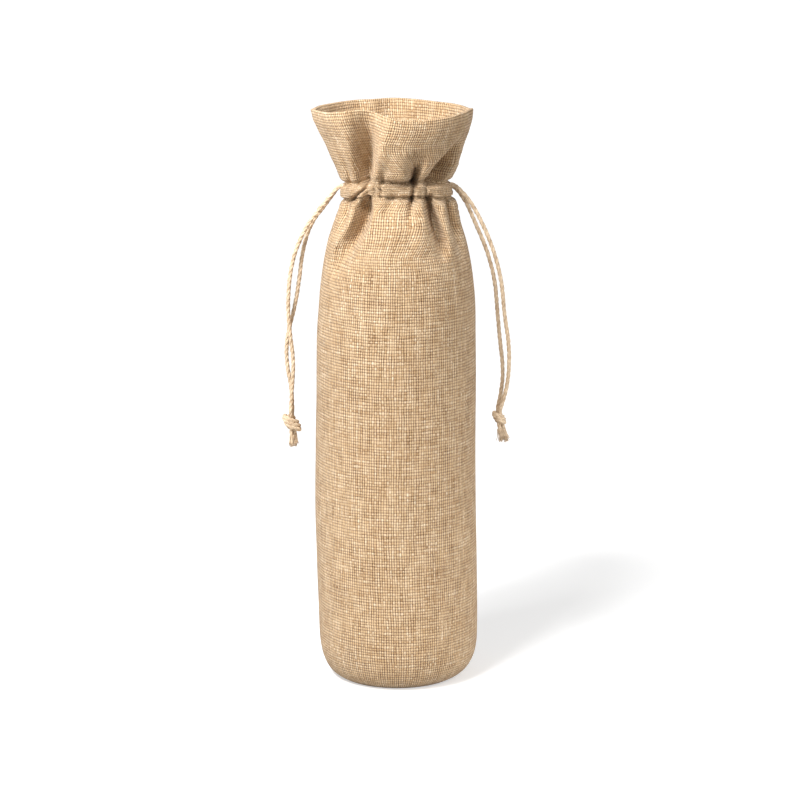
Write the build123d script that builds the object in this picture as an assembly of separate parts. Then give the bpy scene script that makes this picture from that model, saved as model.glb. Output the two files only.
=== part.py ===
"""Drawstring wine gift bag of jute-look cloth, standing open and filled out on its base.

The bag stands on z = 0 with its vertical axis on the origin.  The front faces -Y and the two
side seams are on the X axis.  Each node is written to parts/NODE.step, in millimetres.
"""

import math
import os

from build123d import *

# ---------------------------------------------------------------- driving dimensions
FLAT_WIDTH = 140.0  # the bag laid flat, from side seam to side seam
HEIGHT = 320.0  # floor to rim, standing
CLOTH = 1.2  # one layer of the cloth
BASE_THICKNESS = 1.3  # cloth of the base
BODY_RADIUS = FLAT_WIDTH / math.pi  # the filled body is nearly round

NECK_Z = 278.5  # middle height of the drawcord channel
STITCH_SPACING = 8.4  # between the two stitch lines
FACING_EDGE_Z = 267.0  # lower edge of the folded-in top
POCKET_HEIGHT = 6.4  # free height inside the channel
POCKET_WIDTH = 3.0  # free width inside the channel, wall to wall
BAND_HALF_WIDTH = 31.6  # channel's outer half width along X
BAND_HALF_DEPTH = 23.6  # channel's outer half depth along Y

CORD = 2.4  # diameter of the twine
THREAD = 0.8  # diameter of a line of stitching
EXIT_HALF_WIDTH = 3.2  # half width of the hole that the cord comes out of
SEAM_DEPTH = 6.0  # width of the overlocked seam edge, inwards
SEAM_THICKNESS = 2.4  # two layers of cloth
SEAM_CLEARANCE = 0.05  # keeps the flat seam edge out of the curved wall

KNOT_GAP = 0.4  # between the end of a strand and its knot
KNOT_HEIGHT = 10.4
END_LENGTH = 9.5  # cut ends below the knot

# Outer half widths and half depths of the single-layer body, by height.
BODY_SECTIONS = [
    (BASE_THICKNESS, BODY_RADIUS - 9.4, BODY_RADIUS - 11.2),
    (4.0, BODY_RADIUS - 6.2, BODY_RADIUS - 8.0),
    (8.0, BODY_RADIUS - 3.6, BODY_RADIUS - 5.4),
    (14.0, BODY_RADIUS - 1.4, BODY_RADIUS - 3.1),
    (30.0, BODY_RADIUS, BODY_RADIUS - 1.4),
    (100.0, BODY_RADIUS + 0.2, BODY_RADIUS - 1.0),
    (170.0, BODY_RADIUS - 0.1, BODY_RADIUS - 1.5),
    (200.0, BODY_RADIUS - 0.9, BODY_RADIUS - 2.6),
    (220.0, BODY_RADIUS - 2.2, BODY_RADIUS - 4.6),
    (236.0, BODY_RADIUS - 4.2, BODY_RADIUS - 7.6),
    (250.0, BODY_RADIUS - 7.2, BODY_RADIUS - 12.0),
    (260.0, BODY_RADIUS - 9.8, BODY_RADIUS - 15.6),
    (FACING_EDGE_Z, BODY_RADIUS - 11.6, BODY_RADIUS - 18.0),
]
LOWER_STITCH_SECTION = (NECK_Z - STITCH_SPACING / 2, BAND_HALF_WIDTH, BAND_HALF_DEPTH + 0.6)
# The same for the double-layer frill, from the upper stitch line to the rim.
FRILL_SECTIONS = [
    (NECK_Z + STITCH_SPACING / 2, BAND_HALF_WIDTH - 0.6, BAND_HALF_DEPTH - 0.4),
    (290.0, BAND_HALF_WIDTH + 1.4, BAND_HALF_DEPTH + 2.8),
    (297.0, BAND_HALF_WIDTH + 4.2, BAND_HALF_DEPTH + 6.6),
    (305.0, BAND_HALF_WIDTH + 7.4, BAND_HALF_DEPTH + 10.8),
    (313.0, BAND_HALF_WIDTH + 10.0, BAND_HALF_DEPTH + 14.2),
    (HEIGHT, BAND_HALF_WIDTH + 11.6, BAND_HALF_DEPTH + 16.2),
]

# Routes of the free strands, from the side of the channel down to the knot: x, y, z.
LEFT_FRONT_ROUTE = [
    (-32.2, -1.7, 276.9),
    (-39.4, -1.9, 268.6),
    (-49.8, -2.0, 255.4),
    (-57.4, -2.0, 237.0),
    (-60.0, -1.9, 214.0),
    (-58.8, -1.8, 195.0),
    (-56.7, -1.7, 180.0),
    (-58.0, -1.6, 163.5),
    (-58.7, -1.5, 150.9),
]
LEFT_BACK_ROUTE = [
    (-32.2, 1.7, 276.4),
    (-38.6, 1.8, 267.4),
    (-47.3, 2.0, 256.4),
    (-51.8, 2.0, 240.6),
    (-53.5, 1.9, 225.0),
    (-56.4, 1.8, 208.5),
    (-60.9, 1.7, 192.0),
    (-60.8, 1.6, 177.0),
    (-57.9, 1.5, 163.0),
    (-57.9, 1.5, 150.9),
]
RIGHT_FRONT_ROUTE = [
    (32.2, -1.7, 277.9),
    (38.6, -1.8, 272.3),
    (45.4, -1.9, 260.6),
    (52.4, -1.9, 244.8),
    (57.7, -1.9, 226.0),
    (59.2, -1.8, 207.0),
    (62.0, -1.7, 190.6),
    (62.3, -1.6, 176.0),
    (60.8, -1.5, 163.0),
    (57.6, -1.4, 152.8),
]
RIGHT_BACK_ROUTE = [
    (32.2, 1.7, 276.3),
    (37.2, 1.8, 270.6),
    (42.1, 1.9, 259.2),
    (48.9, 1.9, 243.8),
    (54.1, 1.9, 226.0),
    (55.5, 1.8, 208.0),
    (57.1, 1.6, 191.0),
    (58.9, 1.5, 177.0),
    (58.6, 1.4, 164.0),
    (56.2, 1.4, 152.8),
]
ARC_SHARE = 0.45  # share of the shorter run that an arc takes up


# ---------------------------------------------------------------- cloth
def half_ring(z, outer, inner, gap=0.0):
    """Level front half of an elliptic ring, as a face; the gap is left free at each end."""
    arcs = []
    for half_x, half_y in (outer, inner):
        cut = math.degrees(math.asin(gap / half_y))
        arcs.append(EllipticalCenterArc((0, 0, z), half_x, half_y, 180 + cut, arc_size=180 - 2 * cut))
    ends = [Line(arcs[0] @ end, arcs[1] @ end) for end in (0, 1)]
    return make_face([*arcs, *ends])


def wall(stations, gap=0.0):
    """Front half of a wall through level stations: height, outer half sizes, inner half sizes."""
    return loft([half_ring(z, outer, inner, gap) for z, outer, inner in stations], ruled=True)


def layered(sections, layers):
    """Stations of a wall that is a number of cloth layers thick."""
    inset = layers * CLOTH
    return [(z, (a, b), (a - inset, b - inset)) for z, a, b in sections]


def base():
    """Front half of the flat base, rounding up into the body."""
    edge = BODY_SECTIONS[0][1:]
    flat = (BODY_RADIUS - 11.4, BODY_RADIUS - 13.4)
    halves = []
    for z, (half_x, half_y) in ((0.0, flat), (BASE_THICKNESS, edge)):
        arc = EllipticalCenterArc((0, 0, z), half_x, half_y, 180, arc_size=180)
        halves.append(make_face([arc, Line(arc @ 0, arc @ 1)]))
    return loft(halves, ruled=True)


def channel():
    """Front half of the channel: outer layer, inner layer, and their closing stitch lines."""
    outer = (BAND_HALF_WIDTH, BAND_HALF_DEPTH)
    pocket_outer = tuple(size - CLOTH for size in outer)
    pocket_inner = tuple(size - CLOTH - POCKET_WIDTH for size in outer)
    inner = tuple(size - 2 * CLOTH - POCKET_WIDTH for size in outer)
    low, high = NECK_Z - POCKET_HEIGHT / 2, NECK_Z + POCKET_HEIGHT / 2
    below = layered(BODY_SECTIONS[-1:] + [LOWER_STITCH_SECTION], 2) + [(low, outer, inner)]
    above = [(high, outer, inner)] + layered(FRILL_SECTIONS[:1], 2)
    outer_layer = wall([(low, outer, pocket_outer), (high, outer, pocket_outer)], EXIT_HALF_WIDTH)
    inner_layer = wall([(low, pocket_inner, inner), (high, pocket_inner, inner)])
    return wall(below) + outer_layer + inner_layer + wall(above)


def front_panel():
    """The whole front panel as one solid."""
    body = wall(layered(BODY_SECTIONS, 1))
    frill = wall(layered(FRILL_SECTIONS, 2))
    return base() + body + channel() + frill


def side_seam(side):
    """Overlocked seam edge inside the body, on the left (-1) or the right (+1)."""
    sections = []
    for z, half_x, _ in BODY_SECTIONS[3:-1]:
        x = side * (half_x - CLOTH - SEAM_CLEARANCE - SEAM_DEPTH / 2)
        sections.append(Pos(x, 0, z) * Rectangle(SEAM_DEPTH, SEAM_THICKNESS))
    return loft(sections, ruled=True)


def bottom_seam():
    """Overlocked seam edge standing up from the base, across its width."""
    length = 2 * (BODY_RADIUS - 12.5)
    return Pos(0, 0, BASE_THICKNESS + SEAM_DEPTH / 2) * Box(length, SEAM_THICKNESS, SEAM_DEPTH)


# ---------------------------------------------------------------- thread and cords
def tangent_arc_radii(points):
    """Largest radius at each inner point that the two runs beside it allow."""
    radii = []
    for before, at, after in zip(points, points[1:], points[2:]):
        run_in = Vector(*at) - Vector(*before)
        run_out = Vector(*after) - Vector(*at)
        half_turn = math.radians(run_in.get_angle(run_out)) / 2
        radii.append(ARC_SHARE * min(run_in.length, run_out.length) / math.tan(half_turn))
    return radii


def tube(points, diameter, name, close=False):
    """Round tube along straight runs joined by tangent arcs."""
    if close:
        radii = tangent_arc_radii([points[-1]] + points + [points[0]])
    else:
        radii = tangent_arc_radii(points)
    path = FilletPolyline(*points, radius=radii, close=close)
    section = Plane(path @ 0, z_dir=path % 0) * Circle(diameter / 2)
    solid = sweep(section, path=path)
    share = solid.volume / (math.pi * diameter**2 / 4 * path.length)
    print(f"{name}: {path.length:.1f} mm, radii {[round(r, 1) for r in radii]}, volume share {share:.4f}")
    return solid


def ring_points(half_x, half_y, z, start, stop, count):
    """Points round a level ellipse, from one angle to another, in degrees."""
    angles = [math.radians(start + (stop - start) * i / (count - 1)) for i in range(count)]
    return [(half_x * math.cos(t), half_y * math.sin(t), z) for t in angles]


def stitching(z, half_x, half_y, name):
    """One line of thread all the way round the bag."""
    points = ring_points(half_x, half_y, z, 7.5, 352.5, 24)
    return tube(points, THREAD, name, close=True)


def channel_cord(side, name):
    """The stretch of one drawcord inside the channel, once round from its own side seam."""
    level = NECK_Z - side * (CORD / 2 + 0.2)
    middle = CLOTH + POCKET_WIDTH / 2 - 0.1
    gap = 5.0
    start = gap if side > 0 else 180.0 + gap
    points = ring_points(
        BAND_HALF_WIDTH - middle, BAND_HALF_DEPTH - middle, level, start, start + 360.0 - 2 * gap, 28
    )
    return tube(points, CORD, name)


def knot(front_end, back_end):
    """Overhand knot of the two strands: two slanting turns over a rounded core."""
    centre = (Vector(*front_end) + Vector(*back_end)) / 2 - Vector(0, 0, KNOT_GAP + KNOT_HEIGHT / 2)
    core = Cylinder(1.35 * CORD, KNOT_HEIGHT)
    core = fillet(core.edges(), 0.9 * CORD)
    upper_turn = Pos(0, 0, 0.16 * KNOT_HEIGHT) * Rot(14, 16, 0) * Torus(1.25 * CORD, 0.68 * CORD)
    lower_turn = Pos(0, 0, -0.16 * KNOT_HEIGHT) * Rot(-12, -18, 0) * Torus(1.15 * CORD, 0.68 * CORD)
    return Pos(*centre) * (core + upper_turn + lower_turn)


def cut_end(knot_solid, side, lean):
    """Short cut end below a knot, leaning a little to one side."""
    box = knot_solid.bounding_box()
    top = Vector(box.center().X, box.center().Y + side * 0.62 * CORD, box.min.Z + 0.25 * CORD)
    piece = Pos(*top) * Rot(0, lean, 0) * Pos(0, 0, -END_LENGTH / 2) * Cylinder(0.48 * CORD, END_LENGTH)
    return piece - knot_solid


def drawcord(side_name, front_route, back_route, leans):
    """Free strands, knot and cut ends of one drawcord."""
    nodes = {
        f"{side_name}_cord_front_strand": tube(front_route, CORD, f"{side_name} front strand"),
        f"{side_name}_cord_back_strand": tube(back_route, CORD, f"{side_name} back strand"),
    }
    tied = knot(front_route[-1], back_route[-1])
    nodes[f"{side_name}_cord_knot"] = tied
    nodes[f"{side_name}_cord_front_end"] = cut_end(tied, -1, leans[0])
    nodes[f"{side_name}_cord_back_end"] = cut_end(tied, 1, leans[1])
    return nodes


# ---------------------------------------------------------------- nodes
def build():
    front = front_panel()
    nodes = {
        "front_panel": front,
        "back_panel": mirror(front, about=Plane.XZ),
        "left_side_seam": side_seam(-1),
        "right_side_seam": side_seam(1),
        "bottom_seam": bottom_seam(),
        "upper_channel_stitching": stitching(
            NECK_Z + STITCH_SPACING / 2, BAND_HALF_WIDTH - 0.7, BAND_HALF_DEPTH - 0.5, "upper stitching"
        ),
        "lower_channel_stitching": stitching(
            NECK_Z - STITCH_SPACING / 2, BAND_HALF_WIDTH - 0.3, BAND_HALF_DEPTH + 0.2, "lower stitching"
        ),
        "left_channel_cord": channel_cord(-1, "left channel cord"),
        "right_channel_cord": channel_cord(1, "right channel cord"),
    }
    nodes |= drawcord("left", LEFT_FRONT_ROUTE, LEFT_BACK_ROUTE, (9, -4))
    nodes |= drawcord("right", RIGHT_FRONT_ROUTE, RIGHT_BACK_ROUTE, (-16, -6))
    return nodes


os.makedirs("parts", exist_ok=True)
for node, shape in build().items():
    export_step(shape, f"parts/{node}.step")
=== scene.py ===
"""Looks of the wine gift bag: gathered jute-look cloth, drawstring channel, twine ties and their knots.

Shapes are worked out in millimetres in the frame's own axes (+Z up, -Y the front, seams at -X and +X)
and scaled to metres when a mesh is made.
"""

import math

import bpy
import numpy as np
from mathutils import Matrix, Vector


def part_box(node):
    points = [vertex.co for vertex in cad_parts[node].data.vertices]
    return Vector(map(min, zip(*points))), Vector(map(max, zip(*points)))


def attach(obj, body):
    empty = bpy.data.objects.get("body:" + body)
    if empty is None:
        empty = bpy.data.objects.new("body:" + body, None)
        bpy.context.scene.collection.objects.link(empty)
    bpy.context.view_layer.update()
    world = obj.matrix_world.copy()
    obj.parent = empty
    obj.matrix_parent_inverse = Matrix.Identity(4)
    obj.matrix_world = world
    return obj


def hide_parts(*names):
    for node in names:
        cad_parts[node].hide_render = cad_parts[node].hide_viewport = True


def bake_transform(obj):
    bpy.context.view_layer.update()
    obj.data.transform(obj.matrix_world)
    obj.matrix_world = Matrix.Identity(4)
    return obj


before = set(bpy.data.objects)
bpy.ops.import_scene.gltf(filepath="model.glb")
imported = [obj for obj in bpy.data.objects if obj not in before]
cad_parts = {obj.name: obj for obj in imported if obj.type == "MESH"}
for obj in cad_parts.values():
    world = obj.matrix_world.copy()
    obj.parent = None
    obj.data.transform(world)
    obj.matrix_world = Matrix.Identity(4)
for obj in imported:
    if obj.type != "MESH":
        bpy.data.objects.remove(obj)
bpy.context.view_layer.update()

MM = 0.001
FACES = ("front", "back")

# ------ sizes of the bag, in mm
FLAT_WIDTH = 140.0  # the bag laid flat, seam to seam
LAYER = 0.95  # thickness of one layer of cloth
RIM_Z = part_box("front_panel")[1].z / MM
RIM_FOLD_RADIUS = LAYER + 0.2
BASE_GAP = 0.15  # between the floor and the edge of the flat base
BASE_RISE = 0.35  # how much higher the middle of the base is than its edge
NECK_Z = 278.5  # middle of the drawstring channel
STITCH_SPACING = 8.4  # between the two stitch lines of the channel
STITCH_DIP = 2.1  # how deep the stitch lines lie in the gathered cloth
STITCH_DIP_REACH = 2.0  # how far above and below each line the cloth is drawn in
BAND_BULGE = 1.6  # how far the channel puffs out between them
BAND_MARGIN = 0.5  # between a stitch line and the edge of that puff
UPPER_STITCH_Z = NECK_Z + STITCH_SPACING / 2
LOWER_STITCH_Z = NECK_Z - STITCH_SPACING / 2
FRILL_FOOT_Z = 286.0  # just above the channel
FACING_EDGE_Z = 267.0  # lower edge of the folded-in top
FACING_SLACK = 2.2  # how far that edge hangs clear of the outer layer
FACING_SLACK_REACH = 11.0
POCKET = 3.0  # room for the cords between the two layers
POCKET_REACH = 7.0
EXIT_HALF_HEIGHT = 3.8  # of the hole in each side seam where a cord comes out
EXIT_HALF_WIDTH = 3.1
SEAM_EDGE = 5.6  # width of the overlocked seam edges
SEAM_TOP_Z = 258.0  # upper and lower end of the side seams' edges
SEAM_FOOT_Z = 13.0
BASE_SEAM_HALF_LENGTH = 32.0
SEAM_PINCH = 0.75  # how deep a side seam draws the cloth in, below the frill
SEAM_PINCH_REACH = 1.7
SEAM_RIDGE = 1.6  # how far a side seam stands out at the rim
SEAM_RIDGE_REACH = 9.0
STITCH_POINTS = 6  # points of one stitch, and one more is left out after it
STITCH_STEP = 0.45  # between those points
STITCH_BOW = 0.12  # how far the middle of a stitch stands out, and the whole line before the cloth
STITCH_RADIUS = 0.24
WHIP_PITCH = 2.2  # between the turns of thread round a seam edge
WHIP_HALF_WIDTH = 1.5
WHIP_HALF_DEPTH = 1.35
WHIP_RADIUS = 0.28

# ------ the weave, lengths in mm
WARP_PITCH = 1.38  # between the threads that run up the bag
WEFT_PITCH = 1.62  # between the threads that run round it
WARP_WANDER = 0.9  # how far threads stray from their even places, as a share of the pitch
WEFT_WANDER = 0.7
THREAD_HALF_WIDTH = 0.24  # of the thinnest place, as a share of the pitch
THREAD_SLUB = 0.40  # what the thickest place has more
THREAD_CROWN = 0.8  # height of a thread's round top
THREAD_SWING = 0.35  # how far it goes over and under the crossing ones
GAP_START = 0.55  # the gap beside a thread begins at this share of its half width
GAP_FALL = 1.6  # and deepens this fast
# painted shade: how strongly the colour is darkened in the gaps between the threads
GAP_SHADE_STRENGTH = 1.2
WARP_GAP_SHARE = 0.62
WEFT_GAP_SHARE = 0.38
GAP_DEPTH = 0.8
WEAVE_RELIEF = 0.35
CLOTH_COLOURS = (
    (0.28, (134, 100, 64)),
    (0.42, (190, 157, 118)),
    (0.56, (218, 191, 156)),
    (0.72, (247, 231, 204)),
)
BLOTCH_COLOUR = (200, 166, 124)
BLOTCH_SHARE = 0.35
# colour of the painted shade in the gaps between the threads
GAP_SHADE_COLOUR = (104, 72, 44)

# ------ rows and columns of the cloth's mesh
COLUMNS = 150  # across one panel
FINE_ANGLES = 1440  # points round a ring before it is divided evenly
FLAT_ROWS = (0.0, 0.2, 0.4, 0.6, 0.8, 0.93)  # rows of the flat base, as shares of its outline
CORNER_ROWS = (0.0, 0.7, 1.6, 2.8, 4.4, 6.4, 8.8, 11.6)  # heights of the rows where the base rounds up
# Rows above them: from a height, up to a height, and their spacing. They are closest where the folds are.
ROW_SPANS = ((14.0, 262.0, 2.0), (262.0, 270.0, 1.0), (270.0, 287.0, 0.55), (287.0, RIM_Z - 0.4, 1.0))
RIM_TURNS = (25, 50, 75, 100, 125, 150)  # rows round the fold at the rim, in degrees
FRILL_INSIDE_SPACING = 1.6  # between the rows down the inside
CHANNEL_INSIDE_SPACING = 1.2

# Half width, half depth and sideways lean of the bag, by height.
PROFILE = [
    (0.0, 33.4, 31.6, 0.4),
    (1.5, 36.0, 34.2, 0.6),
    (4.0, 38.9, 37.1, 0.8),
    (8.0, 41.4, 39.8, 1.0),
    (14.0, 43.4, 41.8, 1.1),
    (22.0, 44.4, 42.9, 1.0),
    (36.0, 44.7, 43.3, 0.8),
    (65.0, 44.9, 43.5, 0.1),
    (100.0, 44.8, 43.5, -0.6),
    (160.0, 44.4, 43.0, -0.3),
    (195.0, 43.8, 42.1, -0.1),
    (215.0, 42.9, 40.9, 0.4),
    (231.0, 41.2, 38.8, 0.4),
    (245.0, 38.6, 35.2, 0.3),
    (257.0, 35.3, 30.6, 0.3),
    (266.0, 33.2, 25.8, 0.8),
    (272.0, 31.6, 22.6, 1.1),
    (NECK_Z, 29.0, 20.6, -0.2),
    (283.0, 29.8, 21.2, 0.0),
    (289.0, 32.6, 24.6, 0.0),
    (295.0, 35.2, 28.6, -0.6),
    (303.0, 37.9, 33.2, -1.0),
    (309.0, 40.2, 36.0, -1.3),
    (315.0, 41.8, 38.2, -1.7),
    (RIM_Z, 42.3, 39.4, -2.1),
]

# Folds that stand in the cloth. Each is a line of stations going up: height, place along X, depth inwards
# (a ridge has a negative depth), and half width to the left and to the right.
# "edge" rounds the bottom of the fold, and "power" its shoulders: 1 has sharp ones.
FRONT_FOLDS = [
    # frill: the deep valley left of the middle, from the channel up to the rim
    dict(edge=0.3, power=1.25, line=[
        (280, -16.6, 0, 5, 3), (283, -16.0, 8.6, 7, 3.4), (290, -15.2, 14.6, 10, 4.4),
        (298, -15.4, 15.6, 12, 6.5), (308, -16.0, 12.6, 14, 10), (320, -17.2, 8.4, 16, 15),
    ]),
    # a low ridge right of it
    dict(edge=0.6, power=1.2, line=[
        (283, -10.6, 0, 4, 4), (287, -10.2, -2.0, 4.4, 4.4), (298, -9.0, -1.8, 6, 6), (311, -8, 0, 9, 9),
    ]),
    # short creases just above the channel
    dict(edge=0.15, power=1.6, line=[
        (281, -12.6, 0, 2, 2), (285, -12.8, 1.8, 2.0, 2.0), (291, -12.4, 0.6, 3, 3), (294, -12, 0, 4, 4),
    ]),
    dict(edge=0.15, power=1.6, line=[
        (281, -7.6, 0, 2, 2), (285, -7.6, 2.4, 2.2, 2.2), (290, -7.2, 0.8, 3, 3), (295, -7, 0, 4, 4),
    ]),
    # the swelling above the middle of the channel, and the crease that it hangs over
    dict(edge=0.8, power=1.2, line=[
        (283.0, 1, 0, 7, 7), (285.6, 1, -4.0, 9, 8), (291, 1, -3.0, 11, 10), (302, 1, 0, 13, 13),
    ]),
    dict(edge=0.5, power=1.2, line=[(280.4, 6.0, 0, 5, 4), (282.4, 6.0, 2.8, 6, 5), (284.2, 6.0, 0, 5, 4)]),
    # the crease right of the middle
    dict(edge=0.08, power=1.1, line=[
        (279, 9.2, 0, 2.8, 2.6), (284, 9.8, 8.0, 4.2, 3.0), (288, 10.8, 8.4, 6.0, 3.4),
        (293, 12.0, 4.4, 8, 5), (302, 13.0, 0, 12, 9),
    ]),
    # the valley that slants up towards the right seam
    dict(edge=0.08, power=1.0, line=[
        (280, 16.4, 0, 2.6, 8), (284, 17.6, 8.4, 3.6, 10), (288.5, 21.2, 12.4, 4.4, 12),
        (294, 25.8, 11.6, 5.0, 11), (299, 30.2, 8.0, 5.4, 9), (306, 35, 0, 6, 6),
    ]),
    # a crease near the left seam
    dict(edge=0.2, power=1.6, line=[
        (281, -26, 0, 3, 3), (285, -26, 3.4, 3.4, 3.4), (291, -28, 1.8, 5, 5), (298, -30, 0, 6, 6),
    ]),
    # the left part and then the whole front lean in towards the rim
    dict(edge=1.0, power=1.6, line=[
        (286, -24, 0, 30, 30), (298, -24, 2.4, 32, 32), (310, -24, 4.0, 34, 34), (320, -24, 5.0, 36, 36),
    ]),
    dict(edge=1.0, power=1.2, line=[
        (284, 2, 0, 44, 44), (298, 2, 3.0, 46, 46), (310, 2, 5.4, 48, 48), (320, 2, 7.4, 50, 50),
    ]),
    # channel: three pleats that the stitches hold
    dict(edge=0.1, power=1.3, line=[
        (271, 8.4, 0, 2, 2), (275, 8.6, 3.4, 2.2, 2.0), (280, 8.8, 3.0, 1.8, 1.7), (284, 9.6, 3.0, 2.2, 2.2),
        (286, 10, 0, 3, 3),
    ]),
    dict(edge=0.1, power=1.3, line=[
        (274, 15.6, 0, 2, 2), (277, 15.8, 2.2, 1.7, 1.7), (282, 16.0, 2.4, 1.7, 1.7), (286, 16.4, 0, 2, 2),
    ]),
    dict(edge=0.15, power=1.5, line=[
        (272, -15.4, 0, 2, 2), (276, -15.6, 2.6, 2.4, 2.2), (281, -16, 2.6, 2.4, 2.2), (285, -16, 0, 3, 3),
    ]),
    # three small puckers
    dict(edge=0.2, power=1.5, line=[
        (273, -11.6, 0, 2, 2), (278, -11.4, 1.3, 1.8, 1.8), (284, -11.6, 0, 2, 2),
    ]),
    dict(edge=0.2, power=1.5, line=[(273, -8.2, 0, 2, 2), (278, -8.0, 1.5, 1.8, 1.8), (284, -8.4, 0, 2, 2)]),
    dict(edge=0.2, power=1.5, line=[(273, 25, 0, 3, 3), (278, 25, 1.4, 2.2, 2.2), (284, 25, 0, 3, 3)]),
    # the crease that slants up across the left end
    dict(edge=0.15, power=1.2, line=[
        (271, -30, 0, 4, 3), (273.5, -26, 2.6, 4, 2.6), (277, -20.4, 3.6, 4, 2.2), (280.6, -15, 3.0, 3.6, 2),
        (283, -12.6, 0, 2, 2),
    ]),
    # body: the deep fold that slants down to the left shoulder
    dict(edge=0.22, power=1.15, line=[
        (230, -34, 0, 10, 9), (240, -30, 4.6, 12, 9), (250, -24.4, 10, 11, 6.5), (259, -18.6, 14, 10.5, 4.6),
        (267, -15.6, 13.6, 9.5, 3.6), (272, -15.2, 9.0, 8, 3.2), (276, -15, 0, 4, 3),
    ]),
    # the deep fold that slants down to the right
    dict(edge=0.2, power=1.1, line=[
        (241, 26.0, 0, 6, 5), (250, 24.8, 7.0, 6.2, 4.6), (260, 22.0, 11.6, 6.2, 3.6),
        (268, 19.6, 11.0, 5.6, 3.2), (273, 18.2, 7.0, 4.4, 3.0), (277, 17.6, 0, 3, 3),
    ]),
    # a short crease below the pleat right of the middle
    dict(edge=0.15, power=1.4, line=[
        (262, 7.4, 0, 4, 4), (267, 7.8, 1.8, 3.4, 2.8), (272, 8.2, 4.2, 2.8, 2.4), (276, 8.4, 0, 2, 2),
    ]),
    # ridges on both sides of the right fold
    dict(edge=0.7, power=1.4, line=[
        (244, 14, 0, 8, 6), (257, 13.6, -2.2, 8, 5.6), (269, 12.8, -2.8, 5, 4.6), (275, 12.6, 0, 4, 4),
    ]),
    dict(edge=0.7, power=1.4, line=[
        (238, 30, 0, 7, 6), (252, 28.4, -1.6, 5, 5), (266, 25.4, -2.4, 4.2, 4), (273, 24.4, -1.4, 4, 3.6),
        (276, 24, 0, 3, 3),
    ]),
    # a fold beside each seam
    dict(edge=0.15, power=1.3, line=[
        (236, 37, 0, 7, 7), (250, 34.2, 3.6, 6, 6), (262, 31.0, 5.8, 5, 5), (271, 28.8, 4.6, 4, 4),
        (276, 28, 0, 3, 3),
    ]),
    dict(edge=0.2, power=1.5, line=[
        (252, -31, 0, 6, 6), (262, -29, 2.2, 5, 4), (270, -27, 3.4, 4, 3.4), (275, -26, 0, 3, 3),
    ]),
    # a shallow dip in the middle
    dict(edge=0.5, power=1.5, line=[
        (256, -4, 0, 6, 6), (266, -3.6, 1.0, 5, 5), (274, -3, 1.2, 4, 4), (277, -3, 0, 3, 3),
    ]),
]
BACK_FOLDS = [
    # frill: four folds that run out towards the rim
    dict(edge=0.15, power=1.2, line=[
        (280, -15, 0, 3, 3), (285, -15, 5, 4, 6), (294, -14.4, 5.4, 6, 8), (306, -13.6, 4.2, 8, 9),
        (320, -13, 2.4, 9, 10),
    ]),
    dict(edge=0.15, power=1.4, line=[
        (280, 2, 0, 3, 3), (285, 2, 4.4, 4, 3.6), (293, 3, 3.0, 6, 5), (304, 4, 0, 9, 9),
    ]),
    dict(edge=0.12, power=1.2, line=[
        (280, 17, 0, 3, 3), (286, 17.4, 5.4, 5, 4), (296, 19, 5.0, 8, 6), (308, 20.6, 2.6, 11, 9),
        (320, 22, 1.2, 13, 11),
    ]),
    dict(edge=0.2, power=1.5, line=[
        (281, -25, 0, 3, 3), (286, -26, 3, 4, 4), (296, -28, 1.4, 6, 6), (306, -30, 0, 8, 8),
    ]),
    # two short creases
    dict(edge=0.2, power=1.5, line=[(281, 9.4, 0, 2, 2), (285, 9.6, 2.0, 2.6, 2.6), (292, 10, 0, 4, 4)]),
    dict(edge=0.2, power=1.5, line=[(281, -6, 0, 2, 2), (285, -6, 2.0, 2.6, 2.6), (292, -6, 0, 4, 4)]),
    # channel: pleats that the stitches hold
    dict(edge=0.15, power=1.4, line=[(272, 9, 0, 2, 2), (278, 9, 1.8, 2, 2), (284, 9, 0, 2, 2)]),
    dict(edge=0.15, power=1.4, line=[(272, -7, 0, 2, 2), (278, -7, 1.6, 2, 2), (284, -7, 0, 2, 2)]),
    dict(edge=0.15, power=1.4, line=[(272, -17, 0, 2, 2), (278, -17, 1.8, 2, 2), (284, -16, 0, 2, 2)]),
    dict(edge=0.15, power=1.4, line=[(272, 19, 0, 2, 2), (278, 19, 1.8, 2, 2), (284, 18, 0, 2, 2)]),
    # body: folds, and two ridges between them
    dict(edge=0.2, power=1.3, line=[
        (232, -20, 0, 10, 12), (248, -18, 3.0, 7, 9), (262, -16.4, 5.4, 5, 6), (271, -15, 5.2, 4, 4),
        (276, -15, 0, 3, 3),
    ]),
    dict(edge=0.15, power=1.3, line=[
        (244, 4, 0, 9, 9), (258, 3, 3.4, 6, 6), (269, 2, 5.0, 4, 4), (276, 1.4, 0, 3, 3),
    ]),
    dict(edge=0.2, power=1.3, line=[
        (230, 27, 0, 12, 12), (246, 23, 3.2, 9, 8), (262, 18.6, 5.6, 6, 5), (271, 17, 5.0, 4, 4),
        (276, 17, 0, 3, 3),
    ]),
    dict(edge=0.2, power=1.5, line=[
        (246, 33, 0, 6, 6), (262, 27, 3, 4, 4), (271, 25, 3, 3, 3), (276, 25, 0, 3, 3),
    ]),
    dict(edge=0.2, power=1.5, line=[
        (246, -33, 0, 6, 6), (262, -28, 3.2, 5, 4), (271, -25, 3, 3, 3), (276, -25, 0, 3, 3),
    ]),
    dict(edge=0.6, power=1.5, line=[(248, -6, 0, 8, 8), (262, -6, -1.8, 7, 7), (274, -6, 0, 5, 5)]),
    dict(edge=0.6, power=1.5, line=[(248, 11, 0, 8, 8), (262, 10, -1.8, 6, 6), (274, 9, 0, 5, 5)]),
]
FOLD_SPLAY = 0.3  # share of a fold's depth along X that is kept, so that folds run towards the front and back
PLAIN_PLACE = -12.0  # along X, where the gathered cloth runs nearly straight across the channel
PLAIN_SHARE = 0.8
PLAIN_REACH = 6.5
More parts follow.
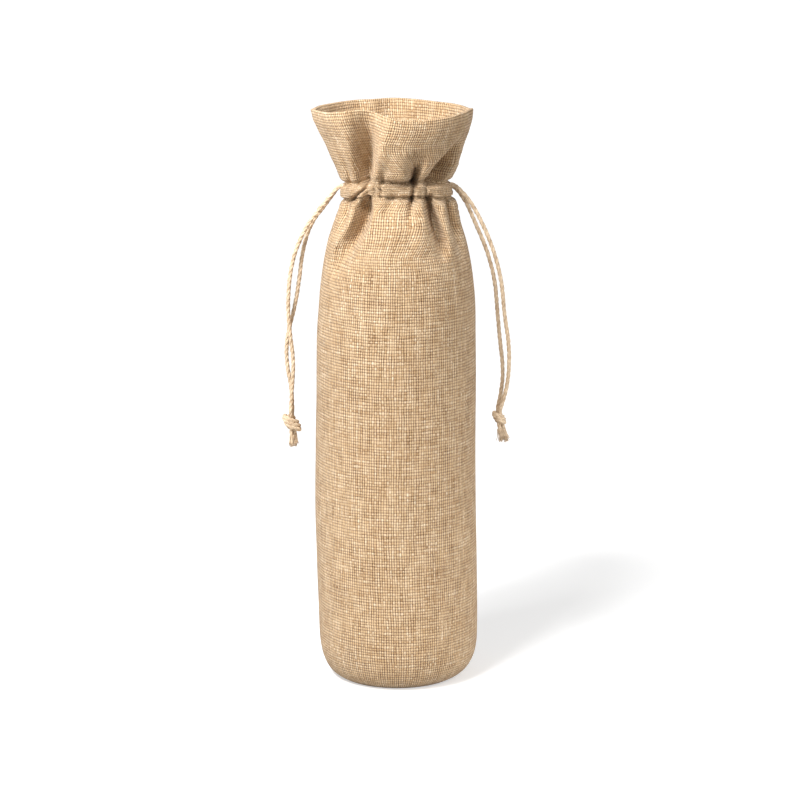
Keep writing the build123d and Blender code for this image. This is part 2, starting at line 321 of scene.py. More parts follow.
# Small ripples of the cloth: depth, length along it, and the part of the bag that has them.
RIPPLES = ((0.42, 6.5, "neck"), (0.5, 13.0, "neck"), (0.5, 90.0, "body"), (1.2, 40.0, "frill"))
NECK_RIPPLE_REACH = 26.0
BODY_RIPPLE_PLACE = (140.0, 150.0)  # middle height and reach

# The ends of the channel hang lower than its middle: place along X and amount.
DROPS = ((-33.0, 3.8), (33.0, 2.6))
DROP_LEVEL = 277.0
DROP_REACH = dict(front=22.0, back=16.0, above=24.0, below=30.0)
# The rim rises and falls: place along X, rise and reach.
RIM_LIFTS = dict(
    front=((-20, 2.0, 22), (12, -2.0, 32), (40, 0.5, 12)),
    back=((-4, 0.5, 30), (30, -0.5, 16)),
)

# Routes of the free strands, the same points as in the CAD source, in mm.
STRAND_ROUTES = {
    "left_cord_front_strand": [
        (-32.2, -1.7, 276.9), (-39.4, -1.9, 268.6), (-49.8, -2.0, 255.4), (-57.4, -2.0, 237.0),
        (-60.0, -1.9, 214.0), (-58.8, -1.8, 195.0), (-56.7, -1.7, 180.0), (-58.0, -1.6, 163.5),
        (-58.7, -1.5, 150.9),
    ],
    "left_cord_back_strand": [
        (-32.2, 1.7, 276.4), (-38.6, 1.8, 267.4), (-47.3, 2.0, 256.4), (-51.8, 2.0, 240.6),
        (-53.5, 1.9, 225.0), (-56.4, 1.8, 208.5), (-60.9, 1.7, 192.0), (-60.8, 1.6, 177.0),
        (-57.9, 1.5, 163.0), (-57.9, 1.5, 150.9),
    ],
    "right_cord_front_strand": [
        (32.2, -1.7, 277.9), (38.6, -1.8, 272.3), (45.4, -1.9, 260.6), (52.4, -1.9, 244.8),
        (57.7, -1.9, 226.0), (59.2, -1.8, 207.0), (62.0, -1.7, 190.6), (62.3, -1.6, 176.0),
        (60.8, -1.5, 163.0), (57.6, -1.4, 152.8),
    ],
    "right_cord_back_strand": [
        (32.2, 1.7, 276.3), (37.2, 1.8, 270.6), (42.1, 1.9, 259.2), (48.9, 1.9, 243.8),
        (54.1, 1.9, 226.0), (55.5, 1.8, 208.0), (57.1, 1.6, 191.0), (58.9, 1.5, 177.0),
        (58.6, 1.4, 164.0), (56.2, 1.4, 152.8),
    ],
}

# ------ twine and knots, in mm
TWINE = 2.4  # diameter of the twine
TWINE_LAY = 10.0  # length of one full twist of its plies
PLY_REACH = 0.20  # from the middle of the twine to the middle of a ply, as a share of its diameter
PLY_RADIUS = 0.295  # likewise
CHANNEL_TWINE_DEPTH = LAYER + POCKET / 2 + 1.4  # of the cords behind the front of the channel
CHANNEL_TWINE_GAP = 0.1  # each of the two cords lies this far and its own radius off the channel's middle
EXIT_COLUMNS = 6  # columns at a side seam where the cord leaves the loop
EXIT_BEND = (2.6, 0, 1.2)  # from the exit to the first point inside, for a cord that comes out at -X
# Half width and half height of each knot, and lean in degrees and length of its front and back cut ends.
KNOTS = {
    "left": dict(half_width=5.0, half_height=5.9, ends=((2, 10.0), (3, 9.6))),
    "right": dict(half_width=3.9, half_height=4.9, ends=((10, 11.0), (14, 11.4))),
}
KNOT_TURNS = 1.6  # turns of each strand
KNOT_TWINE = 1.12 * TWINE  # a knotted strand spreads a little
KNOT_FLATNESS = 0.9  # depth against width
KNOT_TAPER = 0.55  # how much smaller its turns are at the top and bottom
KNOT_SLANT = -0.27  # rise of its turns towards +X
KNOT_SHIFT = 0.45  # its upper turns lie this share of their height towards -X, and its lower ones towards +X
KNOT_DROP = 0.3  # from the end of the strands to the top of the knot
END_START = (1.5 * KNOT_SHIFT, 0.0, 2.4)  # where the cut ends begin, from the middle of the knot's underside
END_HALF_GAP = (0.9, 0.6, 0.0)  # half the distance between them
FIRM_SHARE = 0.5  # share of a cut end that is not frayed
FRAY_OVERLAP = 1.5  # how far the loose fibres reach back into the firm part
FIBRES = 56
FIBRE_RADIUS = 0.27
FIBRE_SPREAD = 1.3


# ------ small helpers
def steady_curve(stations, at):
    """Smooth curve through (x, y...) stations that never swings past them."""
    table = np.array(stations, float)
    x, y = table[:, 0], table[:, 1:]
    slope = np.diff(y, axis=0) / np.diff(x)[:, None]
    tangent = np.zeros_like(y)
    same_way = slope[1:] * slope[:-1] > 0
    mean = 2 * slope[1:] * slope[:-1] / np.where(same_way, slope[1:] + slope[:-1], 1)
    tangent[1:-1] = np.where(same_way, mean, 0)
    tangent[0], tangent[-1] = slope[0], slope[-1]
    at = np.clip(at, x[0], x[-1])
    i = np.clip(np.searchsorted(x, at, side="right") - 1, 0, len(x) - 2)
    h = (x[i + 1] - x[i])[..., None]
    t = ((at - x[i]) / h[..., 0])[..., None]
    a = (1 + 2 * t) * (1 - t) ** 2 * y[i] + t * (1 - t) ** 2 * h * tangent[i]
    b = t * t * (3 - 2 * t) * y[i + 1] + t * t * (t - 1) * h * tangent[i + 1]
    return a + b


def bell(x, middle, half_width):
    """1 at the middle, falling smoothly to 0 at the half width."""
    t = np.clip(np.abs(x - middle) / half_width, 0, 1)
    return (1 - t * t) ** 2


def fold_shape(away, left, right, edge, power):
    """Cross-section of a fold: 1 in its bottom crease, 0 beyond its half widths to the left and right."""
    t = away / np.where(away < 0, left, right)
    m = (np.sqrt(t * t + edge * edge) - edge) / (math.sqrt(1 + edge * edge) - edge)
    return (1 - np.clip(m, 0, 1)) ** power


def waves(s, z, seed, length, count=5):
    """Uneven ripples along s that drift slowly with height; always the same for a seed."""
    rng = np.random.default_rng(seed)
    total = np.zeros_like(s)
    for _ in range(count):
        wave = length * rng.uniform(0.7, 1.6)
        total += np.sin(2 * math.pi * (s / wave + z * rng.uniform(-0.012, 0.012) + rng.random()))
    return total / count


def run_lengths(points):
    """Length of the line from its first point to each point."""
    return np.concatenate([[0], np.cumsum(np.linalg.norm(np.diff(points, axis=0), axis=1))])


def interpolated(at, length, points):
    """Values of each coordinate at some lengths along a line."""
    return np.stack([np.interp(at, length, points[:, k]) for k in range(3)], axis=1)


def even_points(points, spacing):
    """The same line, divided evenly."""
    length = run_lengths(points)
    return interpolated(np.linspace(0, length[-1], max(3, int(length[-1] / spacing))), length, points)


def mesh_object(name, points, faces, uv=None, smooth=True):
    """Mesh from points in mm; uv is one pair for each corner of each face, in metres."""
    mesh = bpy.data.meshes.new(name)
    mesh.from_pydata([tuple(p) for p in np.asarray(points, float) * MM], [], faces)
    if uv is not None:
        layer = mesh.uv_layers.new(name="cloth")
        layer.data.foreach_set("uv", np.asarray(uv, np.float32).ravel())
    mesh.polygons.foreach_set("use_smooth", [smooth] * len(mesh.polygons))
    mesh.update()
    obj = bpy.data.objects.new(name, mesh)
    bpy.context.scene.collection.objects.link(obj)
    return obj


def thicken(obj, thickness, offset):
    """Give a sheet the thickness of its cloth."""
    solid = obj.modifiers.new("cloth thickness", "SOLIDIFY")
    solid.thickness = thickness * MM
    solid.offset = offset


def settle(obj, node, body):
    """Hide the CAD node that a piece stands in for, and attach the piece to the body that it moves with."""
    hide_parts(node)
    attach(obj, body)


# ------ shape of the cloth
def channel_relief(z, x, on_front):
    """How far the channel puffs out between its two stitch lines, and how far they draw the cloth in."""
    reach = max(0.0, 1 - ((z - NECK_Z) / (STITCH_SPACING / 2 - BAND_MARGIN)) ** 2)
    held = 1 - PLAIN_SHARE * bell(x, PLAIN_PLACE, PLAIN_REACH) * on_front
    relief = BAND_BULGE * math.sqrt(reach) * held
    for stitch_z in (UPPER_STITCH_Z, LOWER_STITCH_Z):
        relief -= STITCH_DIP * bell(z, stitch_z, STITCH_DIP_REACH) * held
    return relief


def ripple_relief(z, along, frill):
    """The small gathers of the neck and the long waves of the body and the frill."""
    share = dict(neck=bell(z, NECK_Z, NECK_RIPPLE_REACH), body=bell(z, *BODY_RIPPLE_PLACE), frill=frill)
    relief = np.zeros_like(along)
    for seed, (depth, length, part) in enumerate(RIPPLES, start=3):
        relief += depth * share[part] * waves(along, z, seed, length)
    return relief


def seam_relief(along, frill):
    """The side seams draw the cloth in, and stand out in the frill."""
    relief = np.zeros_like(along)
    for seam in (0.0, along[-1] / 2, along[-1]):
        relief -= SEAM_PINCH * (1 - frill) * bell(along, seam, SEAM_PINCH_REACH)
        relief += SEAM_RIDGE * frill * fold_shape(along - seam, SEAM_RIDGE_REACH, SEAM_RIDGE_REACH, 0.1, 1.6)
    return relief


def fold_depth(z, theta, along, half_x, lean):
    """How deep the folds go in at each point of a ring."""
    total = np.zeros_like(theta)
    for folds, front in ((FRONT_FOLDS, True), (BACK_FOLDS, False)):
        for fold in folds:
            stations = fold["line"]
            if not stations[0][0] < z < stations[-1][0] + 1.0:
                continue
            x, depth, left, right = steady_curve(stations, np.array(z))
            angle = math.acos(np.clip((x - lean) / half_x, -0.999, 0.999))
            middle = np.interp(2 * math.pi - angle if front else 2 * math.pi + angle, theta, along)
            sides = (left, right) if front else (right, left)
            total += depth * fold_shape(along - middle, *sides, fold["edge"], fold["power"])
    return total


def split_at_seams(outline, z, lean, opened):
    """Evenly spaced points of the outline's front and back, parted where a cord comes out if opened."""
    exit_reach = 1 - ((z - NECK_Z) / EXIT_HALF_HEIGHT) ** 2
    gap = EXIT_HALF_WIDTH * math.sqrt(exit_reach) if opened and exit_reach > 0 else 0.0
    middle = FINE_ANGLES // 2
    halves = []
    for part in (outline[: middle + 1], outline[middle:]):
        length = run_lengths(part)
        at = np.linspace(gap, length[-1] - gap, COLUMNS + 1)
        x = np.interp(at, length, part[:, 0]) + lean
        y = np.interp(at, length, part[:, 1])
        halves.append(np.stack([x, y, np.full_like(x, z)], axis=1))
    return halves


def ring(z, inward=0.0, opened=False):
    """Outline of the bag at a height, as points of the front and of the back from seam to seam.

    inward moves the outline the way the folds go.  opened parts the panels where the cords come out.
    """
    half_x, half_y, lean = steady_curve(PROFILE, np.array(z))
    theta = np.linspace(math.pi, 3 * math.pi, FINE_ANGLES + 1)
    base = np.stack([half_x * np.cos(theta), half_y * np.sin(theta)], axis=1)
    along = run_lengths(base)
    normal = np.stack([np.cos(theta) / half_x, np.sin(theta) / half_y], axis=1)
    normal /= np.linalg.norm(normal, axis=1)[:, None]
    fold_way = normal * (FOLD_SPLAY, 1.0)
    fold_way /= np.linalg.norm(fold_way, axis=1)[:, None]

    frill = np.clip((z - UPPER_STITCH_Z) / (RIM_Z - UPPER_STITCH_Z), 0, 1)
    on_front = (theta > math.pi) * (theta < 2 * math.pi)
    out = channel_relief(z, base[:, 0], on_front) + ripple_relief(z, along, frill) + seam_relief(along, frill)
    inward = inward + fold_depth(z, theta, along, half_x, lean)
    outline = base + normal * out[:, None] - fold_way * inward[:, None]
    return split_at_seams(outline, z, lean, opened)


def rim_lift(points, face):
    """How far the rim stands above or below its mean height, at each point."""
    return sum(lift * bell(points[:, 0], place, reach) for place, lift, reach in RIM_LIFTS[face])


def shifted(level, points, face):
    """Height changes of points of a ring at some level: the uneven rim and the channel's drooping ends."""
    points = points.copy()
    rise = np.clip((level - UPPER_STITCH_Z) / (RIM_Z - UPPER_STITCH_Z), 0, 1) ** 2
    points[:, 2] += rise * rim_lift(points, face)
    share = bell(level, DROP_LEVEL, DROP_REACH["above" if level > DROP_LEVEL else "below"])
    for place, drop in DROPS:
        points[:, 2] -= drop * share * bell(points[:, 0], place, DROP_REACH[face])
    return points


def panel_rows(face):
    """Rows of points of one panel, from the middle of the base up to the rim and down inside."""
    which = FACES.index(face)
    rows = []
    floor = ring(0.0)[which]
    for share in FLAT_ROWS:
        row = floor.copy()
        row[:, :2] *= share
        row[:, 2] = BASE_GAP + BASE_RISE * (1 - share)
        rows.append(row)
    heights = list(CORNER_ROWS)
    for low, high, spacing in ROW_SPANS:
        heights += list(np.arange(low, high, spacing))
    for z in heights:
        rows.append(shifted(z, ring(z, opened=True)[which], face))
    top = rows[-1][:, 2].mean()
    for turn in np.radians(RIM_TURNS):
        row = ring(RIM_Z, inward=RIM_FOLD_RADIUS * (1 - math.cos(turn)))[which]
        row[:, 2] += RIM_FOLD_RADIUS * (math.sin(turn) - 1)
        rows.append(shifted(RIM_Z, row, face))
    inner = list(np.arange(top - 0.6, FRILL_FOOT_Z, -FRILL_INSIDE_SPACING))
    inner += list(np.arange(FRILL_FOOT_Z, FACING_EDGE_Z, -CHANNEL_INSIDE_SPACING))
    for z in inner:
        slack = FACING_SLACK * bell(z, FACING_EDGE_Z, FACING_SLACK_REACH)
        inward = 2 * RIM_FOLD_RADIUS + slack + POCKET * bell(z, NECK_Z, POCKET_REACH)
        rows.append(shifted(z, ring(z, inward=inward)[which], face))
    return rows


def panel(name, face):
    """One panel of the bag as a single sheet with the thickness of the cloth, and the length of its cloth."""
    rows = np.array(panel_rows(face))
    count, width = rows.shape[:2]
    steps = np.linalg.norm(np.diff(rows, axis=0), axis=2).mean(axis=1)
    v = np.concatenate([[0], np.cumsum(steps)])
    u = np.linspace(0, FLAT_WIDTH, width)
    faces, uv = [], []
    for i in range(count - 1):
        for j in range(width - 1):
            a = i * width + j
            faces.append((a, a + 1, a + width + 1, a + width))
            uv += [(u[j], v[i]), (u[j + 1], v[i]), (u[j + 1], v[i + 1]), (u[j], v[i + 1])]
    obj = mesh_object(name, rows.reshape(-1, 3), faces, np.array(uv) * MM)
    thicken(obj, LAYER, -1)
    return obj, v[-1]


# ------ materials
class Graph:
    """Short way to write a material's nodes."""

    def __init__(self, name):
        self.material = bpy.data.materials.new(name)
        self.material.use_nodes = True
        self.tree = self.material.node_tree
        self.surface = self.tree.nodes["Principled BSDF"]

    def put(self, socket, value):
        if isinstance(value, bpy.types.NodeSocket):
            self.tree.links.new(value, socket)
        else:
            socket.default_value = value

    def finish(self, **values):
        """Set sockets of the surface; a socket's name is written in small letters with underscores."""
        names = {socket.name.lower().replace(" ", "_"): socket for socket in self.surface.inputs}
        for name, value in values.items():
            self.put(names[name], value)
        return self.material

    def cloth_uv(self):
        """The two coordinates of the piece's own UV, in metres."""
        uv = self.tree.nodes.new("ShaderNodeUVMap")
        uv.uv_map = "cloth"
        split = self.tree.nodes.new("ShaderNodeSeparateXYZ")
        self.put(split.inputs[0], uv.outputs[0])
        return split.outputs[0], split.outputs[1]

    def math(self, operation, *values, clamp=False):
        node = self.tree.nodes.new("ShaderNodeMath")
        node.operation = operation
        node.use_clamp = clamp
        for socket, value in zip(node.inputs, values):
            self.put(socket, value)
        return node.outputs[0]

    def plus(self, a, b):
        return self.math("ADD", a, b)

    def minus(self, a, b):
        return self.math("SUBTRACT", a, b)

    def times(self, a, b, clamp=False):
        return self.math("MULTIPLY", a, b, clamp=clamp)

    def vector(self, x=0.0, y=0.0, z=0.0):
        node = self.tree.nodes.new("ShaderNodeCombineXYZ")
        for socket, value in zip(node.inputs, (x, y, z)):
            self.put(socket, value)
        return node.outputs[0]

    def noise(self, vector, scale=1.0, detail=2.0, roughness=0.5):
        node = self.tree.nodes.new("ShaderNodeTexNoise")
        node.inputs["Scale"].default_value = scale
        node.inputs["Detail"].default_value = detail
        node.inputs["Roughness"].default_value = roughness
        self.put(node.inputs["Vector"], vector)
        return node.outputs["Fac"]

    def ramp(self, value, *stops):
        node = self.tree.nodes.new("ShaderNodeValToRGB")
        while len(node.color_ramp.elements) < len(stops):
            node.color_ramp.elements.new(0.5)
        for element, (place, colour) in zip(node.color_ramp.elements, stops):
            element.position = place
            element.color = linear(colour)
        self.put(node.inputs[0], value)
        return node.outputs["Color"]

    def mix(self, share, a, b, blend="MIX"):
        """Mix of two colours; sockets 0, 6 and 7 of the node are the share and the colours."""
        node = self.tree.nodes.new("ShaderNodeMix")
        node.data_type = "RGBA"
        node.blend_type = blend
        for key, value in ((0, share), (6, a), (7, b)):
            self.put(node.inputs[key], value)
        return node.outputs[2]

    def bump(self, height, distance, strength):
        node = self.tree.nodes.new("ShaderNodeBump")
        node.inputs["Distance"].default_value = distance
        node.inputs["Strength"].default_value = strength
        self.put(node.inputs["Height"], height)
        return node.outputs[0]


def linear(colour):
    """Opaque scene-linear colour from 0-255 display values."""
    share = np.array(colour, float) / 255
    return (*np.where(share <= 0.04045, share / 12.92, ((share + 0.055) / 1.055) ** 2.4), 1)


def threads(g, across, along, swing, seed):
    """Height and shade of one set of parallel threads, and how far a place is towards the gap beside one.

    across and along are counted in threads, and swing is 1 or -1, as the two sets take turns on top.
    Its noises are stretched along the thread and differ from one thread to the next.
    """
    number = g.math("FLOOR", across)
    place = g.math("ABSOLUTE", g.minus(g.math("FRACT", across), 0.5))
    slub = g.noise(g.vector(g.times(number, 3.7), g.times(along, 0.13), seed), 1.0, 2.0)
    edge = g.math("DIVIDE", place, g.plus(THREAD_HALF_WIDTH, g.times(slub, THREAD_SLUB)))
    crown = g.math("MAXIMUM", g.minus(1.0, g.times(edge, edge)), -0.8)
    phase = g.times(g.plus(g.minus(along, 0.5), number), math.pi)
    over = g.times(g.math("COSINE", phase), swing)
    height = g.plus(g.times(crown, THREAD_CROWN), g.times(over, THREAD_SWING))
    streak = g.noise(g.vector(g.times(number, 5.3), g.times(along, 0.10), seed + 4), 1.0, 3.0, 0.6)
    fibre = g.noise(g.vector(g.times(across, 7.0), g.times(along, 0.9), seed + 9), 1.0, 2.0, 0.6)
    shade = g.plus(g.times(streak, 0.7), g.times(fibre, 0.3))
    gap = g.times(g.minus(edge, GAP_START), GAP_FALL, clamp=True)
    return height, shade, gap


def weave_material(name):
    """Coarse plain weave of uneven, heathered threads with painted shade in the gaps between them, laid out
    along the cloth's own UV.
    """
    g = Graph(name)
    across, up = g.cloth_uv()
    u = g.times(across, 1 / (WARP_PITCH * MM))
    v = g.times(up, 1 / (WEFT_PITCH * MM))
    sway_u = g.noise(g.vector(g.times(u, 0.35), g.times(v, 0.12)), 1.0, 2.0)
    sway_v = g.noise(g.vector(g.times(u, 0.12), g.times(v, 0.35), 7.0), 1.0, 2.0)
    u = g.plus(u, g.times(g.minus(sway_u, 0.5), WARP_WANDER))
    v = g.plus(v, g.times(g.minus(sway_v, 0.5), WEFT_WANDER))

    warp_height, warp_shade, warp_gap = threads(g, u, v, 1.0, 11.0)
    weft_height, weft_shade, weft_gap = threads(g, v, u, -1.0, 23.0)
    height = g.math("MAXIMUM", warp_height, weft_height)
    warp_on_top = g.math("GREATER_THAN", warp_height, weft_height)
    shade = g.plus(g.times(warp_shade, warp_on_top), g.times(weft_shade, g.minus(1.0, warp_on_top)))
    colour = g.ramp(shade, *CLOTH_COLOURS)
    blotch = g.noise(g.vector(across, up), 30.0, 3.0)
    colour = g.mix(g.times(blotch, BLOTCH_SHARE), colour, linear(BLOTCH_COLOUR))
    gap = g.plus(g.times(warp_gap, WARP_GAP_SHARE), g.times(weft_gap, WEFT_GAP_SHARE))
    # painted shade: the colour is darkened towards the gaps between the threads
    dark = g.mix(1.0, colour, linear(GAP_SHADE_COLOUR), "MULTIPLY")
    lowered = g.minus(height, g.times(gap, GAP_DEPTH))
    return g.finish(
        base_color=g.mix(g.times(gap, GAP_SHADE_STRENGTH), colour, dark),
        normal=g.bump(lowered, WEAVE_RELIEF * MM, 0.9),
        roughness=0.86,
        specular_ior_level=0.25,
        sheen_weight=0.12,
        sheen_roughness=0.5,
    )


def twine_material(name, dark, light):
    """Twisted plant fibre: streaks along each ply, taken from the tube's own UV."""
    g = Graph(name)
    along, around = g.cloth_uv()
    slant = g.plus(g.times(around, 1 / (0.22 * MM)), g.times(along, 1 / (1.4 * MM)))
    fibre = g.noise(g.vector(slant, g.times(along, 1 / (4.0 * MM))), 1.0, 4.0, 0.6)
    patch = g.noise(g.vector(g.times(along, 1 / (9.0 * MM)), 0.0, 3.0), 1.0, 3.0)
    shade = g.plus(g.times(fibre, 0.6), g.times(patch, 0.4))
    return g.finish(
        base_color=g.ramp(shade, (0.34, dark), (0.60, light)),
        normal=g.bump(fibre, 0.16 * MM, 0.8),
        roughness=0.7,
        specular_ior_level=0.3,
        sheen_weight=0.1,
    )


# ------ tubes and twine
def frames_along(points):
    """Side and up vector at each point of a line, without sudden turns."""
    tangent = np.gradient(points, axis=0)
    tangent /= np.linalg.norm(tangent, axis=1)[:, None]
    side = np.cross(tangent[0], (0.0, 1.0, 0.0))
    if np.linalg.norm(side) < 0.2:
        side = np.cross(tangent[0], (1.0, 0.0, 0.0))
    sides = []
    for t in tangent:
        side = side - t * np.dot(side, t)
        side = side / np.linalg.norm(side)
        sides.append(side)
    sides = np.array(sides)
    return sides, np.cross(tangent, sides)


def tube_mesh(points, radii, around=8):
    """Points, faces and UV of a closed tube along points; radii is one value for each point."""
    side, up = frames_along(points)
    angles = np.linspace(0, 2 * math.pi, around, endpoint=False)
    circle = side[:, None] * np.cos(angles)[None, :, None] + up[:, None] * np.sin(angles)[None, :, None]
    rings = points[:, None] + circle * radii[:, None, None]
    length = run_lengths(points)
    turn = 2 * math.pi * radii.mean() / around
    faces, uv = [], []
    for i in range(len(points) - 1):
        for j in range(around):
            k = (j + 1) % around
            faces.append((i * around + j, i * around + k, (i + 1) * around + k, (i + 1) * around + j))
            uv += [
                (length[i], j * turn), (length[i], (j + 1) * turn),
                (length[i + 1], (j + 1) * turn), (length[i + 1], j * turn),
            ]
    for row, order in ((0, -1), (len(points) - 1, 1)):
        faces.append(tuple(row * around + j for j in range(around))[::order])
        uv += [(length[row], j * turn) for j in range(around)]
    return rings.reshape(-1, 3), faces, uv


def joined_tubes(name, tubes, material):
    """One object of several tubes."""
    points, faces, uv = [], [], []
    for tube_points, tube_faces, tube_uv in tubes:
        first = sum(len(p) for p in points)
        points.append(tube_points)
        faces += [tuple(i + first for i in face) for face in tube_faces]
        uv += tube_uv
    obj = mesh_object(name, np.concatenate(points), faces, np.array(uv) * MM)
    obj.data.materials.append(material)
    return obj


def ply_tubes(line, diameter, plies=3, seed=0):
    """The plies of a twine that twist round each other along a line."""
    line = even_points(line, 0.5)
    side, up = frames_along(line)
    length = run_lengths(line)
    rng = np.random.default_rng(seed)
    tubes = []
    for ply in range(plies):
        swell = 1 + 0.10 * waves(length, 0.0, seed * 10 + ply, 14.0)
        swell += 0.05 * waves(length, 0.0, seed + 77 + ply, 4.0)
        turn = 2 * math.pi * (length / TWINE_LAY + ply / plies) + rng.uniform(-0.2, 0.2)
        away = side * np.cos(turn)[:, None] + up * np.sin(turn)[:, None]
        tubes.append(tube_mesh(line + PLY_REACH * diameter * away, PLY_RADIUS * diameter * swell))
    return tubes


def route_line(route):
    """Points of the smooth line through a route: a NURBS spline with the route as its control points."""
    curve = bpy.data.curves.new("route", "CURVE")
    curve.dimensions = "3D"
    spline = curve.splines.new("NURBS")
    spline.points.add(len(route) - 1)
    for point, place in zip(spline.points, route):
        point.co = (*(c * MM for c in place), 1)
    spline.order_u = 3
    spline.use_endpoint_u = True
    spline.resolution_u = 24
    obj = bpy.data.objects.new("route", curve)
    bpy.context.scene.collection.objects.link(obj)
    bpy.context.view_layer.update()
    mesh = bpy.data.meshes.new_from_object(obj.evaluated_get(bpy.context.evaluated_depsgraph_get()))
    line = np.array([v.co for v in mesh.vertices]) / MM
    bpy.data.objects.remove(obj)
    bpy.data.curves.remove(curve)
    bpy.data.meshes.remove(mesh)
    return line


# ------ the pieces
cloth = weave_material("jute_cloth")
twine = twine_material("jute_twine", (154, 120, 86), (234, 213, 184))
thread = twine_material("sewing_thread", (196, 166, 124), (230, 206, 170))


def make_bag():
    """The front and the back panel."""
    for face in FACES:
        obj, length = panel(f"{face}_panel_cloth", face)
        obj.data.materials.append(cloth)
        settle(obj, f"{face}_panel", "bag")
        print(f"{obj.name}: {length:.0f} mm of cloth from the base to its edge")


def make_stitching():
    """Two lines of straight stitches that close the channel."""
    bow = np.sin(np.linspace(0, math.pi, STITCH_POINTS))
    for name, z in (("upper_channel_stitching", UPPER_STITCH_Z), ("lower_channel_stitching", LOWER_STITCH_Z)):
        tubes = []
        for face, half in zip(FACES, ring(z, inward=-STITCH_BOW)):
            line = even_points(shifted(z, half, face), STITCH_STEP)
            for start in range(2, len(line) - STITCH_POINTS, STITCH_POINTS + 1):
                stitch = line[start : start + STITCH_POINTS].copy()
                middle = stitch[:, :2].mean(axis=0)
                stitch[:, :2] += STITCH_BOW * bow[:, None] * middle / np.linalg.norm(middle)
                tubes.append(tube_mesh(stitch, STITCH_RADIUS * (0.6 + 0.4 * bow), 6))
        settle(joined_tubes(f"{name}_thread", tubes, thread), name, "bag")


def strand_ends(name, which):
    """First (0) or last (-1) point of a cord's front and back strand."""
    return [np.array(STRAND_ROUTES[f"{name}_cord_{face}_strand"][which]) for face in FACES]


def make_strands():
    """The four free strands, which stretch from their exits to the knots."""
    for seed, (name, route) in enumerate(STRAND_ROUTES.items()):
        line = route_line(route)
        obj = joined_tubes(f"{name}_twine", ply_tubes(line, TWINE, seed=seed), twine)
        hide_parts(name)
        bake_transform(obj)


def make_channel_cords():
    """The stretch of each cord inside the channel, once round from its own side seam and out again."""
    for side, name in ((-1, "left"), (1, "right")):
        level = NECK_Z - side * (TWINE / 2 + CHANNEL_TWINE_GAP)
        front, back = ring(level, inward=CHANNEL_TWINE_DEPTH)
        loop = np.concatenate([shifted(level, front, "front"), shifted(level, back, "back")[1:-1]])
        loop = np.roll(loop, 0 if side < 0 else COLUMNS, axis=0)
        loop = loop[EXIT_COLUMNS:-EXIT_COLUMNS]
        ends = strand_ends(name, 0)
        if side > 0:
            ends.reverse()
        inner = [end + np.array(EXIT_BEND) * (-side, 1, 1) for end in ends]
        line = np.concatenate([[ends[0], inner[0]], loop, [inner[1], ends[1]]])
        obj = joined_tubes(f"{name}_channel_twine", ply_tubes(line, TWINE, seed=20 + side), twine)
        settle(obj, f"{name}_channel_cord", "bag")


def seam_strip(name, rows):
    """Two layers of cloth with a whipped edge; rows are pairs of the inner and the outer edge, in order."""
    rows = np.array(rows)
    v = run_lengths(rows[:, 0])
    width = np.linalg.norm(rows[0, 0] - rows[0, 1])
    faces, uv = [], []
    for i in range(len(rows) - 1):
        faces.append((2 * i, 2 * i + 1, 2 * i + 3, 2 * i + 2))
        uv += [(0, v[i]), (width, v[i]), (width, v[i + 1]), (0, v[i + 1])]
    obj = mesh_object(f"{name}_cloth", rows.reshape(-1, 3), faces, np.array(uv) * MM)
    thicken(obj, 2 * LAYER, 0)
    obj.data.materials.append(cloth)
    settle(obj, name, "bag")

    out = rows[:, 0] - rows[:, 1]
    out /= np.linalg.norm(out, axis=1)[:, None]
    along = np.gradient(rows[:, 0], axis=0)
    along /= np.linalg.norm(along, axis=1)[:, None]
    side = np.cross(out, along)
    at = np.arange(0, v[-1], 0.25)
    angle = 2 * math.pi * at / WHIP_PITCH
    whip, out, side = (interpolated(at, v, line) for line in (rows[:, 0], out, side))
    whip += out * (WHIP_HALF_WIDTH * np.cos(angle)[:, None] - 1.0)
    whip += side * WHIP_HALF_DEPTH * np.sin(angle)[:, None]
    obj = joined_tubes(f"{name}_thread", [tube_mesh(whip, np.full(len(whip), WHIP_RADIUS), 5)], thread)
    settle(obj, name, "bag")


def make_seams():
    """Overlocked seam edges inside the bag: down both sides and across the base."""
    for side, name in ((-1, "left"), (1, "right")):
        rows = []
        for z in np.arange(SEAM_TOP_Z, SEAM_FOOT_Z, -2.5):
            front = ring(z)[0]
            wall = front[0] if side < 0 else front[-1]
            tilt = 0.5 * math.sin(z / 23.0)
            outer = wall + np.array([-side * (LAYER + 0.15), 0, 0])
            rows.append((outer + np.array([-side * SEAM_EDGE, tilt, 0]), outer))
        seam_strip(f"{name}_side_seam", rows)
    rows = []
    for x in np.arange(-BASE_SEAM_HALF_LENGTH, BASE_SEAM_HALF_LENGTH + 0.1, 2.0):
        foot = np.array([x, 0.3 * math.sin(x / 7.0), LAYER + 0.7])
        rows.append((foot + np.array([0, 0.6 * math.sin(x / 11.0), SEAM_EDGE]), foot))
    seam_strip("bottom_seam", rows)


def knot_turn(centre, half_width, half_height, start):
    """Line of one of the two strands, wound tightly down round the other strands of the knot."""
    radius = half_width - 0.6 * TWINE
    t = np.linspace(0, 2 * math.pi * KNOT_TURNS, 120)
    fall = np.linspace(1, -1, len(t)) * (half_height - TWINE)
    taper = radius * (1 - KNOT_TAPER * np.linspace(-1, 1, len(t)) ** 8)
    x = taper * np.cos(t + start)
    y = KNOT_FLATNESS * taper * np.sin(t + start)
    return centre + np.stack([x - KNOT_SHIFT * fall, y, fall + KNOT_SLANT * x], axis=1)


